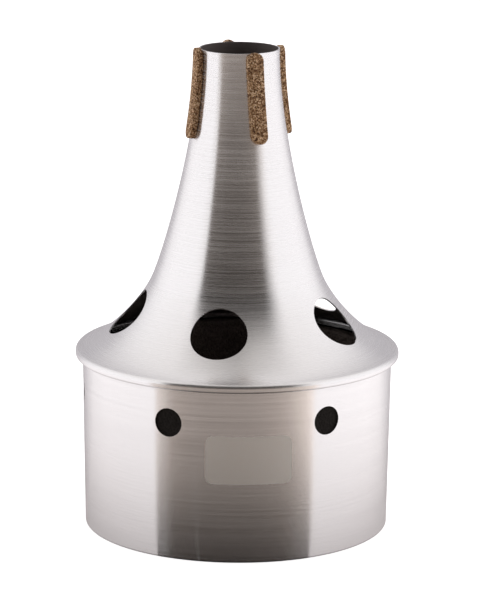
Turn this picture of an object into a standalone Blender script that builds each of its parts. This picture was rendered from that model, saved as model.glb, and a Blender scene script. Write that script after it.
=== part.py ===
# Trombone bucket mute: a spun horn seamed onto a drawn bucket, with cork strips and a foam lining.
# Metres, +Z up. The origin is the middle of the bucket's floor, on the surface that it stands on.

import math

import bmesh
import bpy
from mathutils import Matrix

OBJECT_NAME = "trombone_bucket_mute"

# Sheet and fits
SHEET = 0.0008            # thickness of the aluminium
GAP = 0.0003              # clearance where one piece lies against another

# Bucket, outside sizes
BUCKET_RADIUS = 0.084     # just under the seam
BUCKET_DRAFT = 0.0014     # how much narrower the wall is at the floor
RIM_HEIGHT = 0.0986       # the horn's shoulder above the surface the mute stands on
FLOOR_CORNER = 0.0024     # radius where the wall meets the floor

# Rolled seam: the bucket's flange ends in a curl, and the horn's rim is rolled round that curl
SEAM_DROP = 0.0005        # top of the roll below the shoulder
ROLL_FACE = 0.0012        # upright face between the roll's round top and its tighter foot
ROLL_FOOT_RADIUS = 0.0012
CURL_RADIUS = 0.00043     # hollow inside the bucket's curl
FLANGE_REACH = 0.00152    # from the wall out to the middle of the curl
FLANGE_BEND = 0.0006      # bend between the wall and the flange
CURL_TUCK = 0.0005        # how far the curled edge comes back towards the wall

# Horn, outside sizes
HORN_HEIGHT = 0.16275     # from the shoulder to the mouth
MOUTH_RADIUS = 0.02165
WAIST_RADIUS = 0.0462     # where the throat turns into the flare
WAIST_HEIGHT = 0.0384     # above the shoulder
WAIST_LEAN = math.radians(22.6)
MOUTH_PULL = 0.0441       # how long each end of the outline holds its own direction
WAIST_PULL_UP = 0.0176
WAIST_PULL_DOWN = 0.0168
RIM_PULL = 0.0138
RIM_SLOPE = 13            # degrees, how steeply the flare still falls where it meets the roll

# Ports, one ring in the flare and one in the bucket's wall
FLARE_PORT_COUNT = 5
FLARE_PORT_RADIUS = 0.01524
FLARE_PORT_HEIGHT = 0.0191      # centre above the shoulder
FLARE_PORT_ANGLE = math.radians(-14.2)
WALL_PORT_COUNT = 6
WALL_PORT_RADIUS = 0.00772
WALL_PORT_DROP = 0.02394        # centre below the shoulder
WALL_PORT_ANGLE = math.radians(30)

# Cork strips, glued on by hand about a quarter turn apart
STRIP_LENGTH = 0.049
STRIP_WIDTH = 0.0086
STRIP_THICKNESS = 0.0032
STRIP_PROUD = 0.0004      # above the mouth
STRIP_ANGLES = [math.radians(angle) for angle in (17.6, 106.9, 190.1, 286.9)]

# Foam lining
LINER_THICKNESS = 0.010
LINER_DROP = 0.0046       # its top edge below the shoulder
PAD_THICKNESS = 0.010

# Facets
RING_STEPS = 64
PORT_SIDES = 28
THROAT_STEPS = 8
FLARE_STEPS = 9
ROLL_TOP_STEPS = 4
CURL_STEPS = 6
BEND_STEPS = 3
STRIP_END_STEPS = 8
MERGE_DISTANCE = 0.00001
SHARP_ANGLE = math.radians(32)

# What follows from the sizes above
CURL_OUTSIDE = CURL_RADIUS + SHEET
ROLL_OUTSIDE = CURL_OUTSIDE + GAP + SHEET
SEAM_MIDDLE = (BUCKET_RADIUS + FLANGE_REACH, RIM_HEIGHT - SEAM_DROP - ROLL_OUTSIDE)
MOUTH_HEIGHT = RIM_HEIGHT + HORN_HEIGHT


def arc(middle, radius, start, stop, steps):
    """Points of an arc in the profile plane, from one angle in degrees to another."""
    points = []
    for step in range(steps + 1):
        angle = math.radians(start + (stop - start) * step / steps)
        points.append((middle[0] + radius * math.cos(angle), middle[1] + radius * math.sin(angle)))
    return points


def bezier(start, start_handle, end_handle, end, steps):
    points = []
    for step in range(steps + 1):
        t = step / steps
        weights = ((1 - t) ** 3, 3 * t * (1 - t) ** 2, 3 * t * t * (1 - t), t ** 3)
        corners = (start, start_handle, end_handle, end)
        points.append(tuple(sum(w * c[axis] for w, c in zip(weights, corners)) for axis in (0, 1)))
    return points


def horn_outline():
    """The horn's outer side from the mouth down to where the roll starts."""
    fall = math.radians(RIM_SLOPE)
    rim = (SEAM_MIDDLE[0] + ROLL_OUTSIDE * math.sin(fall), SEAM_MIDDLE[1] + ROLL_OUTSIDE * math.cos(fall))
    lean = (math.sin(WAIST_LEAN), -math.cos(WAIST_LEAN))
    waist = (WAIST_RADIUS, RIM_HEIGHT + WAIST_HEIGHT)
    throat = bezier(
        (MOUTH_RADIUS, MOUTH_HEIGHT),
        (MOUTH_RADIUS, MOUTH_HEIGHT - MOUTH_PULL),
        (waist[0] - lean[0] * WAIST_PULL_UP, waist[1] - lean[1] * WAIST_PULL_UP),
        waist,
        THROAT_STEPS,
    )
    flare = bezier(
        waist,
        (waist[0] + lean[0] * WAIST_PULL_DOWN, waist[1] + lean[1] * WAIST_PULL_DOWN),
        (rim[0] - RIM_PULL * math.cos(fall), rim[1] + RIM_PULL * math.sin(fall)),
        rim,
        FLARE_STEPS,
    )
    return throat + flare[1:]


def outline_at(height):
    """The horn's outer radius at a height, and how far the sheet there leans out of upright."""
    outline = horn_outline()
    for upper, lower in zip(outline, outline[1:]):
        if lower[1] <= height <= upper[1]:
            share = (upper[1] - height) / (upper[1] - lower[1])
            lean = math.atan2(lower[0] - upper[0], upper[1] - lower[1])
            return upper[0] + share * (lower[0] - upper[0]), lean
    return outline[-1][0], math.pi / 2


def wall_radius(height):
    """The bucket wall's outer radius at a height."""
    return BUCKET_RADIUS - BUCKET_DRAFT * (RIM_HEIGHT - height) / RIM_HEIGHT


def offset_line(points, distance):
    """A profile line moved sideways by a distance, each stretch staying parallel to itself."""
    normals = []
    for (r0, z0), (r1, z1) in zip(points, points[1:]):
        length = math.hypot(r1 - r0, z1 - z0)
        normals.append(((z0 - z1) / length, (r1 - r0) / length))
    moved = []
    for index, (r, z) in enumerate(points):
        before = normals[max(index - 1, 0)]
        after = normals[min(index, len(normals) - 1)]
        scale = distance / (1 + before[0] * after[0] + before[1] * after[1])
        moved.append((r + scale * (before[0] + after[0]), z + scale * (before[1] + after[1])))
    return moved


def material(name, colour, roughness, metallic):
    made = bpy.data.materials.new(name)
    made.use_nodes = True
    surface = made.node_tree.nodes["Principled BSDF"]
    surface.inputs["Base Color"].default_value = (*colour, 1)
    surface.inputs["Roughness"].default_value = roughness
    surface.inputs["Metallic"].default_value = metallic
    made.diffuse_color = (*colour, 1)
    return made


def add_object(name, mesh, collection, mesh_material=None):
    made = bpy.data.objects.new(name, mesh)
    collection.objects.link(made)
    if mesh_material:
        mesh.materials.append(mesh_material)
    return made


def as_cutter(made):
    made.hide_render = True
    made.display_type = "WIRE"
    return made


def turned(name, profile, collection, closed=False, mesh_material=None):
    """A profile of (radius, height) points, turned about Z by a Screw modifier."""
    mesh = bpy.data.meshes.new(name)
    edges = [(index, index + 1) for index in range(len(profile) - 1)]
    if closed:
        edges.append((len(profile) - 1, 0))
    mesh.from_pydata([(r, 0, z) for r, z in profile], edges, [])
    made = add_object(name, mesh, collection, mesh_material)
    screw = made.modifiers.new("Turn", "SCREW")
    screw.axis = "Z"
    screw.angle = math.tau
    screw.steps = screw.render_steps = RING_STEPS
    screw.use_merge_vertices = True
    screw.merge_threshold = MERGE_DISTANCE
    return made


def thicken(made):
    """Gives a turned outer side its sheet thickness, on the inside."""
    shell = made.modifiers.new("Sheet", "SOLIDIFY")
    shell.thickness = SHEET
    shell.offset = -1
    shell.use_even_offset = True


def boolean(made, cutter, operation):
    cut = made.modifiers.new(cutter.name, "BOOLEAN")
    cut.operation = operation
    cut.object = cutter
    cut.solver = "EXACT"


def settle(made):
    """Turns the modifiers into the object's own mesh and shades its round faces smooth."""
    bpy.context.view_layer.update()
    evaluated = made.evaluated_get(bpy.context.evaluated_depsgraph_get())
    mesh = bpy.data.meshes.new_from_object(evaluated)
    made.modifiers.clear()
    made.data = mesh
    mesh.name = made.name
    mesh.shade_smooth()
    mesh.set_sharp_from_angle(angle=SHARP_ANGLE)


def port_drills(name, count, radius, first_angle, place, tilt, collection):
    """One drill for each port of a ring; place is the port's (radius, height) on the sheet."""
    drills = bmesh.new()
    aim = Matrix.Rotation(math.pi / 2 - tilt, 4, "Y")
    for index in range(count):
        turn = first_angle - math.pi / 2 + index * math.tau / count
        where = Matrix.Rotation(turn, 4, "Z") @ Matrix.Translation((place[0], 0, place[1])) @ aim
        bmesh.ops.create_cone(
            drills, cap_ends=True, segments=PORT_SIDES,
            radius1=radius, radius2=radius, depth=2 * radius, matrix=where,
        )
    mesh = bpy.data.meshes.new(name)
    drills.to_mesh(mesh)
    drills.free()
    return as_cutter(add_object(name, mesh, collection))


def make_horn(parts, cutters, metal):
    roll = arc(SEAM_MIDDLE, ROLL_OUTSIDE, 90 - RIM_SLOPE, 0, ROLL_TOP_STEPS)
    foot_middle = (roll[-1][0] - ROLL_FOOT_RADIUS, roll[-1][1] - ROLL_FACE)
    foot = arc(foot_middle, ROLL_FOOT_RADIUS, 0, -90, BEND_STEPS)
    hem_end = (BUCKET_RADIUS + GAP, foot[-1][1])
    horn = turned("horn", horn_outline() + roll[1:] + foot + [hem_end], parts, mesh_material=metal)
    thicken(horn)
    port_height = RIM_HEIGHT + FLARE_PORT_HEIGHT
    port_radius, lean = outline_at(port_height)
    drills = port_drills(
        "flare_port_drills", FLARE_PORT_COUNT, FLARE_PORT_RADIUS, FLARE_PORT_ANGLE,
        (port_radius, port_height), lean, cutters,
    )
    boolean(horn, drills, "DIFFERENCE")
    settle(horn)


def make_bucket(parts, cutters, metal):
    """The cup with its flange: the outline runs from the curled edge down to the floor's middle."""
    curl = arc(SEAM_MIDDLE, CURL_RADIUS, -90, 90, CURL_STEPS)
    flange = SEAM_MIDDLE[1] + CURL_RADIUS
    bend = arc((BUCKET_RADIUS + FLANGE_BEND, flange - FLANGE_BEND), FLANGE_BEND, 90, 180, BEND_STEPS)
    foot = wall_radius(0)
    corner = arc((foot - FLOOR_CORNER, FLOOR_CORNER), FLOOR_CORNER, 0, -90, BEND_STEPS)
    tuck = (SEAM_MIDDLE[0] - CURL_TUCK, curl[0][1])
    bucket = turned("bucket", [tuck] + curl + bend + corner + [(0, 0)], parts, mesh_material=metal)
    thicken(bucket)
    port_height = RIM_HEIGHT - WALL_PORT_DROP
    drills = port_drills(
        "wall_port_drills", WALL_PORT_COUNT, WALL_PORT_RADIUS, WALL_PORT_ANGLE,
        (wall_radius(port_height), port_height), 0, cutters,
    )
    boolean(bucket, drills, "DIFFERENCE")
    settle(bucket)


def strip_prism(name, depth, collection):
    """A strip's outline with its round ends, as a prism along X that stands on the YZ plane."""
    curve = bpy.data.curves.new(name, "CURVE")
    curve.dimensions = "2D"
    curve.fill_mode = "BOTH"
    curve.extrude = depth
    end = STRIP_WIDTH / 2
    straight = STRIP_LENGTH / 2 - end
    points = arc((0, straight), end, 0, 180, STRIP_END_STEPS)
    points += arc((0, -straight), end, 180, 360, STRIP_END_STEPS)
    spline = curve.splines.new("POLY")
    spline.points.add(len(points) - 1)
    for point, (across, along) in zip(spline.points, points):
        point.co = (across, along, 0, 1)
    spline.use_cyclic_u = True
    drawn = bpy.data.objects.new(name, curve)
    collection.objects.link(drawn)
    bpy.context.view_layer.update()
    mesh = bpy.data.meshes.new_from_object(drawn.evaluated_get(bpy.context.evaluated_depsgraph_get()))
    bpy.data.objects.remove(drawn)
    bpy.data.curves.remove(curve)
    solid = bmesh.new()
    solid.from_mesh(mesh)
    bmesh.ops.remove_doubles(solid, verts=solid.verts, dist=MERGE_DISTANCE)
    upright = Matrix(((0, 0, 1), (1, 0, 0), (0, 1, 0))).to_4x4()
    bmesh.ops.transform(solid, matrix=upright, verts=solid.verts)
    solid.to_mesh(mesh)
    solid.free()
    return mesh


def make_strips(parts, cutters, cork):
    """Each strip is its outline cut out of a cork sleeve that fits the throat."""
    lean = outline_at(MOUTH_HEIGHT - STRIP_LENGTH / 2)[1]
    middle_height = MOUTH_HEIGHT + STRIP_PROUD - STRIP_LENGTH / 2 * math.cos(lean)
    middle_radius = outline_at(middle_height)[0]
    below = MOUTH_HEIGHT - STRIP_LENGTH - STRIP_WIDTH
    outline = horn_outline()
    stretch = [outline[0]] + [upper for upper, lower in zip(outline[1:], outline) if lower[1] > below]
    stretch = [(MOUTH_RADIUS, MOUTH_HEIGHT + STRIP_WIDTH)] + stretch
    inner = offset_line(stretch, GAP)
    outer = offset_line(stretch, GAP + STRIP_THICKNESS)
    sleeve = as_cutter(turned("cork_sleeve", outer + inner[::-1], cutters, closed=True))
    prism = strip_prism("cork_outline", 2 * STRIP_THICKNESS, cutters)
    prism.materials.append(cork)
    aim = Matrix.Translation((middle_radius, 0, middle_height)) @ Matrix.Rotation(-lean, 4, "Y")
    for index, angle in enumerate(STRIP_ANGLES):
        strip = add_object("cork_strip_%d" % (index + 1), prism, parts)
        strip.matrix_world = Matrix.Rotation(angle - math.pi / 2, 4, "Z") @ aim
        boolean(strip, sleeve, "INTERSECT")
        settle(strip)


def make_foam(parts, foam):
    """A wall liner that stands on the floor and a pad that lies inside it."""
    floor_top = SHEET + GAP
    corner_cut = FLOOR_CORNER
    top = RIM_HEIGHT - LINER_DROP
    outside = [wall_radius(height) - SHEET - GAP for height in (top, floor_top + corner_cut)]
    inside = [radius - LINER_THICKNESS for radius in outside]
    profile = [
        (outside[0], top),
        (outside[1], floor_top + corner_cut),
        (outside[1] - corner_cut, floor_top),
        (inside[1], floor_top),
        (inside[0], top),
    ]
    liner = turned("foam_liner", profile, parts, closed=True, mesh_material=foam)
    settle(liner)
    bpy.ops.mesh.primitive_cylinder_add(
        vertices=RING_STEPS, radius=inside[1] - GAP, depth=PAD_THICKNESS,
        location=(0, 0, floor_top + PAD_THICKNESS / 2),
    )
    pad = bpy.context.object
    pad.name = pad.data.name = "foam_pad"
    pad.data.materials.append(foam)
    pad.data.shade_smooth()
    pad.data.set_sharp_from_angle(angle=SHARP_ANGLE)
    for collection in list(pad.users_collection):
        collection.objects.unlink(pad)
    parts.objects.link(pad)


def main():
    for old in list(bpy.data.objects):
        bpy.data.objects.remove(old)
    parts = bpy.data.collections.new(OBJECT_NAME)
    cutters = bpy.data.collections.new("cutters")
    for collection in (parts, cutters):
        bpy.context.scene.collection.children.link(collection)
    horn_metal = material("horn_aluminium", (0.80, 0.79, 0.80), 0.32, 1)
    bucket_metal = material("bucket_aluminium", (0.80, 0.79, 0.80), 0.30, 1)
    cork = material("composition_cork", (0.36, 0.22, 0.13), 0.9, 0)
    foam = material("black_foam", (0.022, 0.019, 0.018), 1.0, 0)
    make_horn(parts, cutters, horn_metal)
    make_bucket(parts, cutters, bucket_metal)
    make_strips(parts, cutters, cork)
    make_foam(parts, foam)


main()
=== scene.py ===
import math

import bmesh
import bpy
from mathutils import Matrix, Vector


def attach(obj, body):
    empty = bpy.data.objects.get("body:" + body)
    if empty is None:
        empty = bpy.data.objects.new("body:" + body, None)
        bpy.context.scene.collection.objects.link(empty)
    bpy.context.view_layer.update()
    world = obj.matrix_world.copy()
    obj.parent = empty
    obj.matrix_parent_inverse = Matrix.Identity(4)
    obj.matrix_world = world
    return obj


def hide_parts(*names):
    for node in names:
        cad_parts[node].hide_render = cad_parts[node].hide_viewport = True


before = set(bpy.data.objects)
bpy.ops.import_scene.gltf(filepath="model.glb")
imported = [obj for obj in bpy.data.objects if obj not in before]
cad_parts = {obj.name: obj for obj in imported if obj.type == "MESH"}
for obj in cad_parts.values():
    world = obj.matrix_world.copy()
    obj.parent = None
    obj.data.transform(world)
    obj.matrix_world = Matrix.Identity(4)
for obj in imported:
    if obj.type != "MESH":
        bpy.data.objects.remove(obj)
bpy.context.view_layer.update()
print("frame loaded:", sorted(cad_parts))

# metres and degrees throughout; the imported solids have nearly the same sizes
metal = {"sheet": 0.0008, "gap": 0.0003, "ringSteps": 224, "portSides": 96}
mergeDistance = 1e-7


def arc(middle, radius, start, stop, steps):
    points = []
    for step in range(steps + 1):
        angle = math.radians(start + (stop - start) * step / steps)
        points.append(Vector((middle[0] + radius * math.cos(angle), middle[1] + radius * math.sin(angle))))
    return points


def bezier(a, b, c, d, steps):
    points = []
    for step in range(steps + 1):
        t = step / steps
        points.append(a * (1 - t) ** 3 + b * 3 * t * (1 - t) ** 2 + c * 3 * t * t * (1 - t) + d * t ** 3)
    return points


def objectFrom(mesh, name, material=None):
    data = bpy.data.meshes.new(name)
    mesh.to_mesh(data)
    mesh.free()
    made = bpy.data.objects.new(name, data)
    bpy.context.scene.collection.objects.link(made)
    if material:
        data.materials.append(material)
    return made


def shade(made, sharpAngle=35):
    made.data.shade_smooth()
    made.data.set_sharp_from_angle(angle=math.radians(sharpAngle))


def spun(profile, steps, closed=False):
    # turns a line of (radius, height) points into a skin round Z, facing out
    mesh = bmesh.new()
    verts = [mesh.verts.new((point.x, 0, point.y)) for point in profile]
    pairs = list(zip(verts, verts[1:]))
    if closed:
        pairs.append((verts[-1], verts[0]))
    edges = [mesh.edges.new(pair) for pair in pairs]
    bmesh.ops.spin(
        mesh, geom=verts + edges, cent=(0, 0, 0), axis=(0, 0, 1), angle=math.tau, steps=steps, use_merge=True,
    )
    bmesh.ops.remove_doubles(mesh, verts=mesh.verts, dist=mergeDistance)
    bmesh.ops.recalc_face_normals(mesh, faces=mesh.faces)
    lowest = min(mesh.faces, key=lambda face: face.calc_center_median().z)
    if lowest.normal.z > 0:  # an open skin can come out inside out
        bmesh.ops.reverse_faces(mesh, faces=mesh.faces)
    return mesh


def blank(outline, thickness):
    # a flat piece with its outline in XZ, given its thickness along Y
    mesh = bmesh.new()
    face = mesh.faces.new([mesh.verts.new((point.x, 0, point.y)) for point in outline])
    skin = bmesh.ops.extrude_face_region(mesh, geom=[face])
    lifted = [item for item in skin["geom"] if isinstance(item, bmesh.types.BMVert)]
    bmesh.ops.translate(mesh, verts=lifted, vec=(0, thickness, 0))
    return mesh


def cutAcross(mesh, direction, length, cuts):
    # even cuts over a length, so that a blank can bend
    half = cuts // 2
    for cut in range(-half, half + 1):
        plane = cut * length / (cuts + 1)
        bmesh.ops.bisect_plane(
            mesh, geom=mesh.verts[:] + mesh.edges[:] + mesh.faces[:],
            plane_co=[plane * part for part in direction], plane_no=direction,
        )


def applyModifiers(made):
    bpy.context.view_layer.update()
    data = bpy.data.meshes.new_from_object(made.evaluated_get(bpy.context.evaluated_depsgraph_get()))
    made.modifiers.clear()
    made.data = data


def sheetMetal(name, profile, outside, inside=None):
    made = objectFrom(spun(profile, metal["ringSteps"]), name, outside)
    shell = made.modifiers.new("sheet", "SOLIDIFY")
    if inside:
        made.data.materials.append(inside)
        shell.material_offset = 1
        shell.material_offset_rim = 0
    shell.thickness = metal["sheet"]
    shell.offset = -1
    shell.use_even_offset = True
    applyModifiers(made)
    return made


def drill(made, count, radius, place, lean, firstAngle):
    # one cutter for each port of a ring, square to the sheet
    cutters = bmesh.new()
    aim = Matrix.Translation((place[0], 0, place[1])) @ Matrix.Rotation(math.pi / 2 - lean, 4, "Y")
    for index in range(count):
        turn = Matrix.Rotation(math.radians(firstAngle) - math.pi / 2 + index * math.tau / count, 4, "Z")
        bmesh.ops.create_cone(
            cutters, cap_ends=True, segments=metal["portSides"], radius1=radius, radius2=radius,
            depth=2 * radius, matrix=turn @ aim,
        )
    tool = objectFrom(cutters, "portCutters")
    cut = made.modifiers.new("ports", "BOOLEAN")
    cut.operation = "DIFFERENCE"
    cut.object = tool
    cut.solver = "EXACT"
    applyModifiers(made)
    bpy.data.objects.remove(tool)


class Signal:
    # a node's output that takes part in plain arithmetic
    def __init__(self, graph, socket):
        self.graph = graph
        self.socket = socket

    def __add__(self, other):
        return self.graph.maths("ADD", self, other)

    def __sub__(self, other):
        return self.graph.maths("SUBTRACT", self, other)

    def __rsub__(self, other):
        return self.graph.maths("SUBTRACT", other, self)

    def __mul__(self, other):
        return self.graph.maths("MULTIPLY", self, other)

    def __truediv__(self, other):
        return self.graph.maths("DIVIDE", self, other)

    def __pow__(self, other):
        return self.graph.maths("POWER", self, other)

    def __abs__(self):
        return self.graph.maths("ABSOLUTE", self)

    __radd__ = __add__
    __rmul__ = __mul__


class Made:
    # a node whose outputs come back as signals
    def __init__(self, graph, node):
        self.graph = graph
        self.node = node

    def __getitem__(self, output):
        return Signal(self.graph, self.node.outputs[output])


class Graph:
    def __init__(self, owner):
        owner.use_nodes = True
        self.tree = owner.node_tree
        self.tree.nodes.clear()

    def add(self, kind, settings=None, sockets=None):
        # any node: its type, what is set on it first, then the values or links of its sockets
        node = self.tree.nodes.new("ShaderNode" + kind)
        for name, value in (settings or {}).items():
            if name == "stops":
                stops = node.color_ramp.elements
                for position, colour in value[1:-1]:
                    stops.new(position).color = (*colour, 1)
                for element, (position, colour) in ((stops[0], value[0]), (stops[-1], value[-1])):
                    element.position = position
                    element.color = (*colour, 1)
            else:
                setattr(node, name, value)
        for name, value in (sockets or {}).items():
            if isinstance(value, Signal):
                self.tree.links.new(value.socket, node.inputs[name])
            else:
                node.inputs[name].default_value = value
        return Made(self, node)

    def maths(self, operation, first, second=0):
        return self.add("Math", {"operation": operation}, {0: first, 1: second})[0]

    def mix(self, factor, first, second):
        return self.add("Mix", {"data_type": "RGBA"}, {0: factor, 6: first, 7: second})[2]

    def times(self, first, second):
        settings = {"data_type": "RGBA", "blend_type": "MULTIPLY"}
        return self.add("Mix", settings, {0: 1.0, 6: first, 7: second})[2]

    def split(self, vector):
        axes = self.add("SeparateXYZ", None, {0: vector})
        return axes[0], axes[1], axes[2]

    def join(self, x, y, z):
        return self.add("CombineXYZ", None, {0: x, 1: y, 2: z})[0]

    def place(self):
        return self.add("TexCoord")["Object"]

    def noise(self, vector, scale, detail=3, roughness=0.5):
        sockets = {"Vector": vector, "Scale": scale, "Detail": detail, "Roughness": roughness}
        return self.add("TexNoise", None, sockets)["Fac"]

    def cells(self, vector, scale):
        return self.add("TexVoronoi", {"feature": "F1"}, {"Vector": vector, "Scale": scale, "Randomness": 1.0})

    def stretch(self, low, high, value, toLow=0, toHigh=1):
        sockets = {"Value": value, "From Min": low, "From Max": high, "To Min": toLow, "To Max": toHigh}
        return self.add("MapRange", {"clamp": True}, sockets)[0]

    def ramp(self, stops, value):
        return self.add("ValToRGB", {"stops": stops}, {0: value})["Color"]

    def bump(self, look, height):
        sockets = {"Strength": look["bump"], "Distance": look["bumpDepth"], "Height": height}
        return self.add("Bump", None, sockets)["Normal"]

    def finish(self, shader):
        self.add("OutputMaterial", None, {"Surface": shader})


def newMaterial(name):
    made = bpy.data.materials.new(name)
    return made, Graph(made)


hornLook = {
    "light": (0.995, 0.985, 0.990, 1), "dark": (0.875, 0.865, 0.870, 1),
    "rough": 0.25, "roughSpread": 0.03, "anisotropic": 0.9, "bump": 0.06, "bumpDepth": 0.0001,
    # how often the streaks change along and across the brushing, and the wide bands against them
    "alongBrush": 14, "acrossBrush": 2300, "fineShare": 0.96, "fineDetail": (2, 0.6),
    "wideAlong": 0.4, "wideAcross": 0.2, "wideShare": 0.04, "wideDetail": (2, 0.5), "tones": (0.37, 0.63),
    "brushTurn": 0.25,  # a quarter turn: the brushing runs round the axis
    "scatter": 0.32, "lowShare": 0.38, "lowHeights": (0.12, 0.25),  # less of it low down
    "footTone": 0.35, "footHeights": (0.0003, 0.0011),  # a painted dark line where the mute stands: painted shade for its contact shadow, mirrored in the corner
}
bucketLook = dict(
    hornLook, rough=0.22, roughSpread=-0.015, anisotropic=1.0, bump=0.12, alongBrush=9, acrossBrush=2000,
    scatter=0.17, lowShare=1,
)


def brushedAluminium(name, look):
    # brushed round the axis: streaks are fine along the outline and long round it
    made, graph = newMaterial(name)
    x, y, z = graph.split(graph.place())
    line = z - (x * x + y * y) ** 0.5
    fine = [x * look["alongBrush"], y * look["alongBrush"], line * look["acrossBrush"]]
    wide = [fine[0] * look["wideAlong"], fine[1] * look["wideAlong"], fine[2] * look["wideAcross"]]
    streaks = graph.noise(graph.join(*fine), 1, *look["fineDetail"])
    bands = graph.noise(graph.join(*wide), 1, *look["wideDetail"])
    tone = graph.stretch(*look["tones"], streaks * look["fineShare"] + bands * look["wideShare"])
    depth = (1 - tone) * graph.stretch(*look["lowHeights"], z, look["lowShare"], 1)
    colour = graph.mix(depth, look["dark"], look["light"])  # evens out what the scatter takes away
    # painted shade: a dark line at the very foot, for the contact shadow that the corner mirrors
    colour = graph.times(colour, graph.stretch(*look["footHeights"], z, look["footTone"], 1))
    rough, spread = look["rough"], look["roughSpread"]
    surface = graph.add("BsdfPrincipled", None, {
        "Base Color": colour, "Roughness": graph.stretch(0, 1, tone, rough + spread, rough - spread),
        "Normal": graph.bump(look, tone), "Metallic": 1.0,
        "Anisotropic": look["anisotropic"], "Anisotropic Rotation": look["brushTurn"],
    })
    # deeper scratches throw the light wide, and show where a dark thing is mirrored
    scratches = graph.add("BsdfDiffuse", None, {"Color": look["light"]})
    both = {0: depth * look["scatter"], 1: surface["BSDF"], 2: scratches["BSDF"]}
    graph.finish(graph.add("MixShader", None, both)["Shader"])
    return made


# colours for the horn's inner side, kept dark as painted shade
shadedInsideLook = {
    "dark": (0.090, 0.074, 0.070, 1), "light": (0.210, 0.178, 0.170, 1),
    "alongMarks": 12, "acrossMarks": 700, "marksShare": 0.5, "cloud": 45, "cloudShare": 0.5,
    "tones": (0.3, 0.7), "rough": (0.48, 0.62), "bump": 0.5, "bumpDepth": 0.00008,
}


def shadedInside(look):
    # the side of the sheet that faces the foam: dull, with the turning marks still in it; its dark colour is
    # painted shade for the inside of the horn
    made, graph = newMaterial("shadedInside")
    place = graph.place()
    x, y, z = graph.split(place)
    along = look["alongMarks"]
    marks = graph.noise(graph.join(x * along, y * along, z * look["acrossMarks"]), 1)
    cloud = graph.noise(place, look["cloud"], 4)
    blend = marks * look["marksShare"] + cloud * look["cloudShare"]
    surface = graph.add("BsdfPrincipled", None, {
        "Base Color": graph.mix(blend, look["dark"], look["light"]), "Normal": graph.bump(look, marks),
        "Roughness": graph.stretch(*look["tones"], cloud, *look["rough"]),
    })
    graph.finish(surface["BSDF"])
    return made


corkLook = {
    "grains": 1300.0, "chips": 2300.0, "warp": 320, "grainShare": 0.45, "chipShare": 0.4, "warpShare": 0.25,
    "tones": (0.27, 0.83), "rough": 0.85, "specular": 0.3,
    "bump": 0.5, "bumpDepth": 0.00025, "chipRise": 0.5, "grainFall": 0.8,
    "browns": [
        (0.0, (0.06, 0.025, 0.010)), (0.30, (0.19, 0.095, 0.042)), (0.55, (0.40, 0.225, 0.11)),
        (0.78, (0.66, 0.42, 0.235)), (1.0, (0.92, 0.70, 0.48)),
    ],
}


def compositionCork(look):
    # pressed granules, each with its own brown, with dark binder between them
    made, graph = newMaterial("compositionCork")
    place = graph.place()
    warp = graph.noise(place, look["warp"], 2)
    grains = graph.cells(place, look["grains"])
    chips = graph.cells(place, look["chips"])
    grainTone = graph.add("SeparateColor", None, {0: grains["Color"]})[0]
    chipTone = graph.add("SeparateColor", None, {0: chips["Color"]})[0]
    blend = grainTone * look["grainShare"] + chipTone * look["chipShare"] + warp * look["warpShare"]
    height = chipTone * look["chipRise"] - grains["Distance"] * look["grainFall"]
    surface = graph.add("BsdfPrincipled", None, {
        "Base Color": graph.ramp(look["browns"], graph.stretch(*look["tones"], blend)),
        "Roughness": look["rough"], "Specular IOR Level": look["specular"], "Normal": graph.bump(look, height),
    })
    graph.finish(surface["BSDF"])
    return made


foamLook = {
    "cells": 900.0, "poreReach": 0.8, "poreShare": 0.6, "cloud": 60, "cloudShare": 0.4,
    "face": ((0.105, 0.084, 0.075, 1), (0.270, 0.222, 0.200, 1)),
    # near-black colours for the liner's outer side: painted shade
    "glued": ((0.010, 0.009, 0.008, 1), (0.032, 0.028, 0.026, 1)), "gluedFrom": (0.0785, 0.0795),
    "rough": 0.95, "specular": 0.2, "bump": 0.8, "bumpDepth": 0.0004,
}


def blackFoam(look):
    # open cells; the outer side, against the bucket's wall, is near black: painted shade for the dark behind the
    # wall's ports
    made, graph = newMaterial("blackFoam")
    place = graph.place()
    pore = graph.stretch(0, look["poreReach"], graph.cells(place, look["cells"])["Distance"])
    cloud = graph.noise(place, look["cloud"], 3)
    x, y = graph.split(place)[:2]
    backShadeMask = graph.stretch(*look["gluedFrom"], (x * x + y * y) ** 0.5)
    blend = pore * look["poreShare"] + cloud * look["cloudShare"]
    surface = graph.add("BsdfPrincipled", None, {
        "Base Color": graph.mix(backShadeMask, graph.mix(blend, *look["face"]), graph.mix(blend, *look["glued"])),
        "Roughness": look["rough"], "Specular IOR Level": look["specular"], "Normal": graph.bump(look, pore),
    })
    graph.finish(surface["BSDF"])
    return made


foilLook = {
    "dark": (0.97, 0.92, 0.86, 1), "light": (1.0, 0.97, 0.92, 1), "mottle": 240, "tones": (0.3, 0.7),
    "rough": (0.5, 0.6), "metallic": 0.1,
}


def plateFoil(look):
    # pale foil of the bare plate
    made, graph = newMaterial("plateFoil")
    mottle = graph.noise(graph.place(), look["mottle"], 3)
    surface = graph.add("BsdfPrincipled", None, {
        "Base Color": graph.mix(mottle, look["dark"], look["light"]),
        "Roughness": graph.stretch(*look["tones"], mottle, *look["rough"]), "Metallic": look["metallic"],
    })
    graph.finish(surface["BSDF"])
    return made


bucket = {
    "radius": 0.084, "draft": 0.0014, "corner": 0.0010, "bend": 0.0006,
    "ports": 6, "portRadius": 0.00772, "portDrop": 0.02394, "portAngle": 30,
    "bendSteps": 8, "wallSteps": 40, "cornerSteps": 12, "floorSteps": 24,
}
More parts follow.
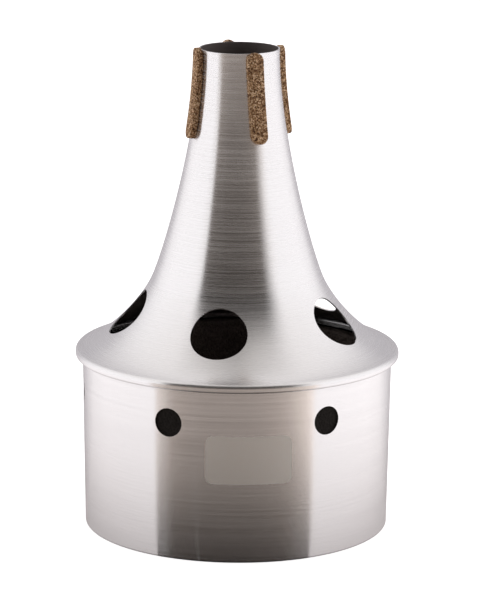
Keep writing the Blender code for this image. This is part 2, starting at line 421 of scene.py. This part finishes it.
# the bucket's flange ends in a curl, and the horn's rim is rolled round it
seam = {
    "shoulder": 0.0986, "drop": 0.0005, "roll": 0.00233, "slope": 13,  # the flare's fall where it meets the roll
    "face": 0.0012, "foot": 0.0012,  # the roll's upright face and its tighter foot
    "curl": 0.00043, "reach": 0.00152, "tuck": 0.0005,
    "rollSteps": 16, "footSteps": 10, "curlSteps": 14,
}
seamMiddle = Vector((bucket["radius"] + seam["reach"], seam["shoulder"] - seam["drop"] - seam["roll"]))


def wallRadius(height):
    return bucket["radius"] - bucket["draft"] * (seam["shoulder"] - height) / seam["shoulder"]


def makeBucket(material):
    curl = arc(seamMiddle, seam["curl"], -90, 90, seam["curlSteps"])
    tuck = Vector((seamMiddle.x - seam["tuck"], curl[0].y))
    flange = seamMiddle.y + seam["curl"]
    bend = bucket["bend"]
    bendArc = arc((bucket["radius"] + bend, flange - bend), bend, 90, 180, bucket["bendSteps"])
    corner = bucket["corner"]
    cornerArc = arc((wallRadius(0) - corner, corner), corner, 0, -90, bucket["cornerSteps"])
    wallSteps, floorSteps = bucket["wallSteps"], bucket["floorSteps"]
    wall = [bendArc[-1].lerp(cornerArc[0], step / wallSteps) for step in range(1, wallSteps)]
    floor = [Vector((cornerArc[-1].x * (1 - step / floorSteps), 0)) for step in range(1, floorSteps + 1)]
    made = sheetMetal("bucketCup", [tuck] + curl + bendArc + wall + cornerArc + floor, material)
    height = seam["shoulder"] - bucket["portDrop"]
    drill(made, bucket["ports"], bucket["portRadius"], (wallRadius(height), height), 0, bucket["portAngle"])
    shade(made)
    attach(made, "root")
    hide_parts("bucket")
    print("bucket made:", len(made.data.polygons), "faces")


horn = {
    "height": 0.16275, "mouth": 0.02165, "waist": 0.0462, "waistHeight": 0.0384, "lean": 22.6,
    # how long each end of the outline's two curves holds its own direction
    "mouthPull": 0.0441, "waistPullUp": 0.0176, "waistPullDown": 0.0168, "rimPull": 0.0138,
    "ports": 5, "portRadius": 0.01524, "portHeight": 0.0191, "portAngle": -14.2,
    "throatSteps": 48, "flareSteps": 44,
}
mouthHeight = seam["shoulder"] + horn["height"]


def hornOutline():
    # outer side, from the mouth down to where the roll starts, as (radius, height)
    waistLean = math.radians(horn["lean"])
    lean = Vector((math.sin(waistLean), -math.cos(waistLean)))
    waist = Vector((horn["waist"], seam["shoulder"] + horn["waistHeight"]))
    mouth = Vector((horn["mouth"], mouthHeight))
    slope = math.radians(seam["slope"])
    rim = seamMiddle + Vector((math.sin(slope), math.cos(slope))) * seam["roll"]
    back = Vector((-math.cos(slope), math.sin(slope)))
    mouthEnd = mouth + Vector((0, -horn["mouthPull"]))
    throat = bezier(mouth, mouthEnd, waist - lean * horn["waistPullUp"], waist, horn["throatSteps"])
    rimEnd = rim + back * horn["rimPull"]
    flare = bezier(waist, waist + lean * horn["waistPullDown"], rimEnd, rim, horn["flareSteps"])
    return throat + flare[1:]


def outlineAt(height):
    # radius and outward lean of the sheet at a height on the horn
    points = hornOutline()
    for upper, lower in zip(points, points[1:]):
        if lower.y <= height <= upper.y:
            share = (upper.y - height) / (upper.y - lower.y)
            lean = math.atan2(lower.x - upper.x, upper.y - lower.y)
            return upper.x + share * (lower.x - upper.x), lean


def makeHorn(outside, inside):
    roll = arc(seamMiddle, seam["roll"], 90 - seam["slope"], 0, seam["rollSteps"])
    footMiddle = roll[-1] - Vector((seam["foot"], seam["face"]))
    foot = arc(footMiddle, seam["foot"], 0, -90, seam["footSteps"])
    hem = Vector((bucket["radius"] + metal["gap"], foot[-1].y))
    made = sheetMetal("hornShell", hornOutline() + roll[1:] + foot + [hem], outside, inside)
    height = seam["shoulder"] + horn["portHeight"]
    radius, lean = outlineAt(height)
    drill(made, horn["ports"], horn["portRadius"], (radius, height), lean, horn["portAngle"])
    shade(made)
    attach(made, "root")
    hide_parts("horn")
    print("horn made:", len(made.data.polygons), "faces")


strip = {
    "length": 0.049, "width": 0.0090, "thickness": 0.0032, "round": 0.00045, "roundSteps": 2,
    # glued by hand: each has its own place, and two are a little askew
    "angles": (17.6, 106.9, 190.1, 285.2), "twists": (3.6, 0, 0, 3.4),
    "proud": (0.0008, 0.0004, 0.0008, 0.0011),  # above the mouth
    "endSteps": 20, "cutsAlong": 61, "cutsWide": 11,
    "lead": 0.01,  # straight line above the mouth, for what stands proud
}


def makeStrip(index, material):
    # a flat cork blank with round ends, cut fine and laid on the horn's throat
    angle, twist, proud = (strip[name][index - 1] for name in ("angles", "twists", "proud"))
    angle, twist = math.radians(angle), math.radians(twist)
    length, end = strip["length"], strip["width"] / 2
    straight = length / 2 - end
    outline = arc((0, straight), end, 0, 180, strip["endSteps"])
    outline += arc((0, -straight), end, 180, 360, strip["endSteps"])
    mesh = blank(outline, strip["thickness"])
    bmesh.ops.recalc_face_normals(mesh, faces=mesh.faces)
    rims = [edge for edge in mesh.edges if abs(edge.verts[0].co.y - edge.verts[1].co.y) < strip["round"]]
    bmesh.ops.bevel(
        mesh, geom=rims, offset=strip["round"], segments=strip["roundSteps"], profile=0.5, affect="EDGES",
        material=-1,
    )
    cutAcross(mesh, (0, 0, 1), length, strip["cutsAlong"])
    cutAcross(mesh, (1, 0, 0), strip["width"], strip["cutsWide"])
    path = [Vector((horn["mouth"], mouthHeight + strip["lead"]))] + hornOutline()
    lengths = [0.0]
    for upper, lower in zip(path, path[1:]):
        lengths.append(lengths[-1] + (lower - upper).length)
    top = strip["lead"] - proud
    for vert in mesh.verts:
        along = top + length / 2 - vert.co.z
        spot = max(number for number, run in enumerate(lengths) if run <= along)
        upper, lower = path[spot], path[spot + 1]
        base = upper.lerp(lower, (along - lengths[spot]) / (lengths[spot + 1] - lengths[spot]))
        way = (lower - upper).normalized()
        lifted = base + Vector((-way.y, way.x)) * (vert.co.y + metal["gap"])
        turn = Matrix.Rotation(angle - math.pi / 2 - twist * vert.co.z / length, 4, "Z")
        vert.co = turn @ Vector((math.sqrt(lifted.x ** 2 - vert.co.x ** 2), vert.co.x, lifted.y))
    bmesh.ops.recalc_face_normals(mesh, faces=mesh.faces)
    made = objectFrom(mesh, "corkStrip%d" % index, material)
    shade(made, sharpAngle=50)
    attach(made, "root")
    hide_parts("cork_strip_%d" % index)


foam = {
    "thickness": 0.010, "drop": 0.0046, "pad": 0.010, "round": 0.0012, "roundSteps": 5, "sideSteps": 24,
    "faceSteps": 20, "baseSteps": 8, "linerRing": 160, "padRing": 128,
}


def makeFoam(material):
    # a ring inside the bucket's wall and a disc on its floor
    clear = metal["sheet"] + metal["gap"]
    top, foot = seam["shoulder"] - foam["drop"], clear + bucket["corner"]
    outTop = wallRadius(top) - metal["sheet"] - metal["gap"]
    outFoot = wallRadius(foot) - metal["sheet"] - metal["gap"]
    edge, edgeSteps, sideSteps = foam["round"], foam["roundSteps"], foam["sideSteps"]
    inFoot = Vector((outFoot - foam["thickness"], clear))
    inTop = Vector((outTop - foam["thickness"], top - edge))
    outside = Vector((outTop, top - edge))
    profile = arc((outTop - edge, top - edge), edge, 90, 0, edgeSteps)
    profile += [outside.lerp(Vector((outFoot, foot)), step / sideSteps) for step in range(1, sideSteps + 1)]
    profile += [Vector((outFoot - bucket["corner"], clear)), inFoot]
    profile += [inFoot.lerp(inTop, step / sideSteps) for step in range(1, sideSteps + 1)]
    profile += arc((inTop.x + edge, top - edge), edge, 180, 90, edgeSteps)[1:]
    liner = objectFrom(spun(profile, foam["linerRing"], closed=True), "foamLiner", material)
    shade(liner, sharpAngle=60)
    padTop = clear + foam["pad"]
    padRadius = outFoot - foam["thickness"] - metal["gap"]
    rim = arc((padRadius - edge, padTop - edge), edge, 90, 0, edgeSteps)
    faceSteps, baseSteps = foam["faceSteps"], foam["baseSteps"]
    face = [Vector((rim[0].x * step / faceSteps, padTop)) for step in range(faceSteps)]
    base = [Vector((padRadius * (1 - step / baseSteps), clear)) for step in range(baseSteps + 1)]
    pad = objectFrom(spun(face + rim + base, foam["padRing"]), "foamPad", material)
    shade(pad, sharpAngle=60)
    for made, node in ((liner, "foam_liner"), (pad, "foam_pad")):
        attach(made, "root")
        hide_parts(node)
    print("foam made")


plate = {
    "width": 0.046, "height": 0.026, "corner": 0.004, "thickness": 0.00025, "middle": 0.0562,
    "glue": 0.00005, "cornerSteps": 8, "cuts": 41,
}


def makePlate(material):
    # bare rounded plate, bent to the bucket's wall on the side that faces -Y
    corner = plate["corner"]
    wide, high = plate["width"] / 2 - corner, plate["height"] / 2 - corner
    outline = []
    for start, middle in ((0, (wide, high)), (90, (-wide, high)), (180, (-wide, -high)), (270, (wide, -high))):
        outline += arc(middle, corner, start, start + 90, plate["cornerSteps"])
    mesh = blank(outline, -plate["thickness"])
    cutAcross(mesh, (1, 0, 0), plate["width"], plate["cuts"])
    for vert in mesh.verts:
        height = plate["middle"] + vert.co.z
        out = wallRadius(height) + plate["glue"] - vert.co.y
        angle = vert.co.x / wallRadius(height)
        vert.co = Vector((out * math.sin(angle), -out * math.cos(angle), height))
    bmesh.ops.recalc_face_normals(mesh, faces=mesh.faces)
    made = objectFrom(mesh, "barePlate", material)
    shade(made, sharpAngle=50)
    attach(made, "root")
    print("plate made")


makeHorn(brushedAluminium("hornAluminium", hornLook), shadedInside(shadedInsideLook))
makeBucket(brushedAluminium("bucketAluminium", bucketLook))
cork = compositionCork(corkLook)
for index in range(1, len(strip["angles"]) + 1):
    makeStrip(index, cork)
print("cork strips made")
makeFoam(blackFoam(foamLook))
makePlate(plateFoil(foilLook))

# where the camera stands and looks, in the object's own frame
shot = {
    "turn": -4.6, "distance": 1.7958, "height": 0.5439, "pitch": 13.184, "yaw": 0.043, "roll": 0.474,
    "lens": 203.96, "sensor": 36, "farthest": 20,
}


def makeCamera():
    yaw, pitch, roll = (math.radians(shot[name]) for name in ("yaw", "pitch", "roll"))
    turn = Matrix.Rotation(math.radians(shot["turn"]), 3, "Z")
    forward = Vector((math.sin(yaw) * math.cos(pitch), math.cos(yaw) * math.cos(pitch), -math.sin(pitch)))
    right = Vector((math.cos(yaw), -math.sin(yaw), 0))
    up = right.cross(forward)
    across = turn @ (right * math.cos(roll) + up * math.sin(roll))
    upright = turn @ (up * math.cos(roll) - right * math.sin(roll))
    axes = Matrix((across, upright, turn @ -forward)).transposed()
    data = bpy.data.cameras.new("camera")
    data.lens = shot["lens"]
    data.sensor_width = shot["sensor"]
    data.clip_end = shot["farthest"]
    camera = bpy.data.objects.new("camera", data)
    place = turn @ Vector((0, -shot["distance"], shot["height"]))
    camera.matrix_world = Matrix.Translation(place) @ axes.to_4x4()
    bpy.context.scene.collection.objects.link(camera)
    bpy.context.scene.camera = camera


# a white tent with a dark opening round the camera; angles go round the object from the camera's side
studio = {
    "edges": [(-53, 58), (-50, 43), (-61, 57)],  # the opening's left and right edge: low, middle and high
    "heights": [0, 12, 14, 40],  # degrees up, from the low edges to the middle ones and on to the high ones
    "soft": [(1.5, 5), (7, 11)],  # how soft the left and the right edge are: low and high
    "gain": 0.9, "edgeGain": 1.1, "gainMiddle": -9, "gainReach": 63,  # the opening is lighter near its edges
    "slit": -32, "slitWidth": 0.7, "slitTone": 0.10,
    "topFade": (20, 60), "zenith": (62, 84),
    "floorSize": 12.0, "floorColour": (0.97, 0.97, 0.97, 1), "floorGlow": 0.76, "floorReach": (0.08, 0.8),
    "floorEdges": (-62.4, 59.3), "floorSoft": (0.3, 0.8), "apex": 0.05,
    "rightGain": 0.11, "rightTurn": 90,  # the floor's glow is a little lighter near the object's right side: painted light
}
white = (1, 1, 1, 1)
tones = {
    # the opening from straight down to straight up
    "opening": [
        (0.0, (0.02, 0.017, 0.015)), (0.47, (0.28, 0.243, 0.217)), (0.53, (0.26, 0.225, 0.20)),
        (0.575, (0.016, 0.014, 0.012)), (0.81, (0.010, 0.009, 0.008)), (0.89, (0.42, 0.40, 0.385)),
        (1.0, (0.56, 0.535, 0.52)),
    ],
    # the tent from its front round to its back
    "tent": [
        (0.0, (1.07, 1.06, 1.07)), (0.61, (1.07, 1.05, 1.06)), (0.71, (0.98, 0.96, 0.97)),
        (0.83, (0.56, 0.54, 0.56)), (1.0, (0.45, 0.43, 0.45)),
    ],
    "top": (0.92, 0.89, 0.88, 1),
    "zenith": (0.58, 0.555, 0.54, 1),
    # the floor's glow, which the metal mirrors and which lights the object, from the object's foot out; darkest
    # at the foot, as a painted shadow of the object
    "floorOpening": [
        (0.0, (0.025, 0.020, 0.018)), (0.11, (0.055, 0.046, 0.041)), (0.28, (0.35, 0.298, 0.265)),
        (0.44, (0.70, 0.60, 0.54)), (0.75, (0.51, 0.44, 0.40)), (1.0, (0.28, 0.24, 0.215)),
    ],
    "floorTent": [
        (0.0, (0.42, 0.395, 0.39)), (0.18, (0.80, 0.77, 0.76)), (0.5, (1.13, 1.11, 1.11)),
        (1.0, (1.0, 0.99, 1.0)),
    ],
}


def fromCamera(x, y):
    # the two parts of a place or direction as the camera sees them, to its right and towards it
    turn = -math.radians(shot["turn"])
    right = x * math.cos(turn) - y * math.sin(turn)
    near = x * -math.sin(turn) - y * math.cos(turn)
    return right, near


def openingAndTent(graph, azimuth, left, right, soft, openTone, tentTone):
    # openTone shows between the two edges and is lighter close to them, tentTone past them
    mask = graph.stretch(-1, 1, (azimuth - left) / soft[0]) * graph.stretch(-1, 1, (right - azimuth) / soft[1])
    turned = abs(azimuth - studio["gainMiddle"]) / studio["gainReach"]
    gain = turned ** 3 * studio["edgeGain"] + studio["gain"]
    slit = 1 - graph.stretch(0, studio["slitWidth"], abs(azimuth - studio["slit"]))
    opened = graph.mix(slit * studio["slitTone"], graph.times(openTone, gain), white)
    return graph.mix(mask, tentTone, opened)


def makeFloor():
    mesh = bmesh.new()
    bmesh.ops.create_grid(mesh, x_segments=1, y_segments=1, size=studio["floorSize"] / 2)
    made, graph = newMaterial("paleFloor")
    x, y = graph.split(graph.place())[:2]
    right, near = fromCamera(x, y)
    distance = graph.stretch(*studio["floorReach"], (right * right + near * near) ** 0.5)
    azimuth = graph.maths("ARCTAN2", right, near - studio["apex"]) * math.degrees(1)
    tent = graph.ramp(tones["tent"], abs(azimuth) / 180)
    around = graph.times(graph.ramp(tones["floorTent"], distance), tent)
    nearRight = graph.stretch(0, studio["rightTurn"], azimuth) * (1 - distance)
    around = graph.times(around, nearRight * studio["rightGain"] + 1)
    opening = graph.ramp(tones["floorOpening"], distance)
    mirrored = openingAndTent(graph, azimuth, *studio["floorEdges"], studio["floorSoft"], opening, around)
    cameraRay = graph.add("LightPath")["Is Camera Ray"]
    matt = graph.add("BsdfDiffuse", None, {"Color": studio["floorColour"]})
    glow = graph.add("Emission", None, {"Color": white, "Strength": cameraRay * studio["floorGlow"]})
    seen = graph.add("AddShader", None, {0: matt["BSDF"], 1: glow["Emission"]})
    # for all but camera rays the floor is a glow of painted tones: darkest at the object's foot as painted
    # shadow, lighter near its right as painted light
    mirror = graph.add("Emission", None, {"Color": mirrored, "Strength": 1.0})
    both = {0: cameraRay, 1: mirror["Emission"], 2: seen["Shader"]}
    graph.finish(graph.add("MixShader", None, both)["Shader"])
    floor = objectFrom(mesh, "floor", made)


def makeWorld():
    world = bpy.data.worlds.new("tent")
    bpy.context.scene.world = world
    graph = Graph(world)
    x, y, z = graph.split(graph.add("TexCoord")["Generated"])
    right, near = fromCamera(x, y)
    azimuth = graph.maths("ARCTAN2", right, near) * math.degrees(1)
    elevation = graph.maths("ARCSINE", z) * math.degrees(1)
    rise = graph.stretch(*studio["heights"][:2], elevation)
    widen = graph.stretch(*studio["heights"][2:], elevation)
    edges = [
        rise * (middle - low) + widen * (high - middle) + low
        for low, middle, high in zip(*studio["edges"])
    ]
    soft = [widen * (high - low) + low for low, high in studio["soft"]]
    tent = graph.ramp(tones["tent"], abs(azimuth) / 180)
    tent = graph.mix(graph.stretch(*studio["topFade"], elevation), tent, tones["top"])
    tent = graph.mix(graph.stretch(*studio["zenith"], elevation), tent, tones["zenith"])
    opening = graph.ramp(tones["opening"], elevation / 180 + 0.5)
    lit = openingAndTent(graph, azimuth, *edges, soft, opening, tent)
    shown = graph.mix(graph.add("LightPath")["Is Camera Ray"], lit, white)
    back = graph.add("Background", None, {"Color": shown, "Strength": 1.0})
    graph.add("OutputWorld", None, {"Surface": back["Background"]})


makeCamera()
makeFloor()
makeWorld()
bpy.context.scene.view_settings.view_transform = "Standard"
print("camera and studio made")
